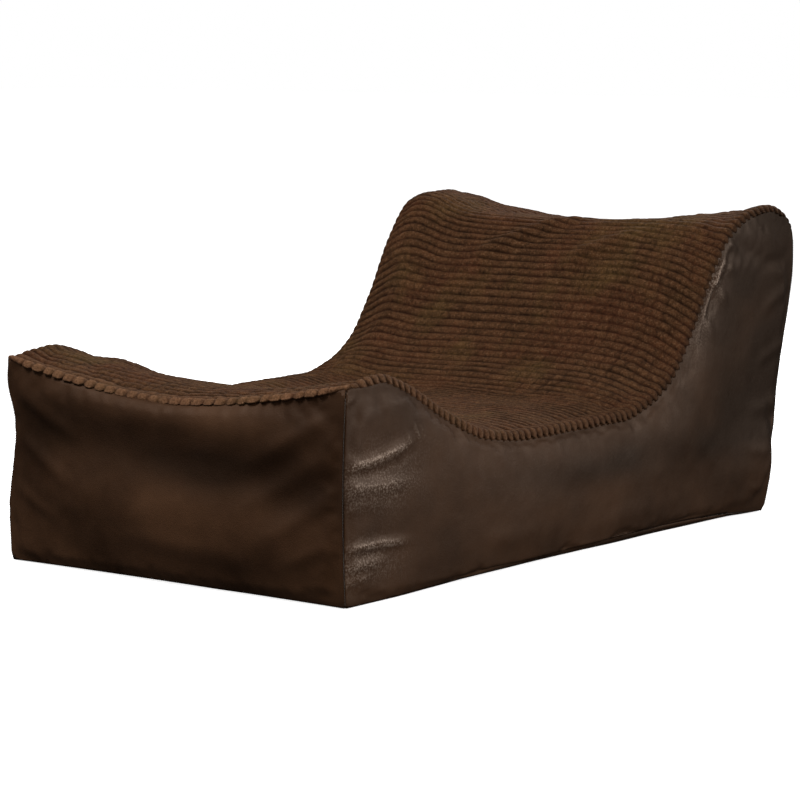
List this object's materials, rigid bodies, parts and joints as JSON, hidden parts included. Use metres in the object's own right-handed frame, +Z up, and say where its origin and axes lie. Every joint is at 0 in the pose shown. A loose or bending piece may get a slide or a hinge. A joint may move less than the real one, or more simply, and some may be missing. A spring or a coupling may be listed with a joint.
{
  "type": "bean bag chair",
  "caption": "Low lounger bean bag chair: plush seat and backrest, leather-look sides, zipped cover over a bead-filled liner.",
  "frame": {"origin": "on the floor, under the middle of the chair's bounding box", "axes": "+Z up, -Y towards the foot end, +Y towards the backrest, +X towards the sitter's left"},
  "size_m": [0.7274, 1.2927, 0.5408],
  "materials": {
    "plush_corduroy": "wide-wale plush, matt with a soft sheen",
    "faux_leather": "fine grain, semi-gloss",
    "zip_tape": "woven tape",
    "zip_nylon": "satin nylon",
    "zip_metal": "antique brass, satin",
    "liner_cloth": "plain woven polyester",
    "foam_beads": "expanded polystyrene beads"
  },
  "bodies": {
    "bag": {"top_panel": "plush_corduroy", "front_panel": "faux_leather", "left_side_panel": "faux_leather", "right_side_panel": "faux_leather", "rear_upper_panel": "faux_leather", "rear_lower_panel": "faux_leather", "base_panel": "faux_leather", "zip_tape_upper": "zip_tape", "zip_tape_lower": "zip_tape", "zip_coil_upper": "zip_nylon", "zip_coil_lower": "zip_nylon", "zip_top_stop_upper": "zip_metal", "zip_top_stop_lower": "zip_metal", "zip_bottom_stop": "zip_metal", "inner_liner": "liner_cloth", "bead_fill": "foam_beads", "liner_zip_tape_upper": "zip_tape", "liner_zip_tape_lower": "zip_tape", "liner_zip_coil_upper": "zip_nylon", "liner_zip_coil_lower": "zip_nylon", "liner_zip_top_stop_upper": "zip_metal", "liner_zip_top_stop_lower": "zip_metal", "liner_zip_bottom_stop": "zip_metal"},
    "cover_slider": {"zip_slider": "zip_metal"},
    "cover_pull": {"zip_pull": "zip_metal"},
    "liner_slider": {"liner_zip_slider": "zip_metal"}
  },
  "joints": [
    {"name": "cover_zip_slide", "type": "slide", "parent": "bag", "child": "cover_slider", "axis": [-1, 0, 0], "range_m": [0, 0.588]},
    {"name": "zip_pull_hinge", "type": "hinge", "parent": "cover_slider", "child": "cover_pull", "pos_m": [0.294, 0.5553, 0.07], "axis": [0, 0, -1], "range_deg": [0, 175]},
    {"name": "liner_zip_slide", "type": "slide", "parent": "bag", "child": "liner_slider", "axis": [-1, 0, 0], "range_m": [0, 0.316]}
  ]
}
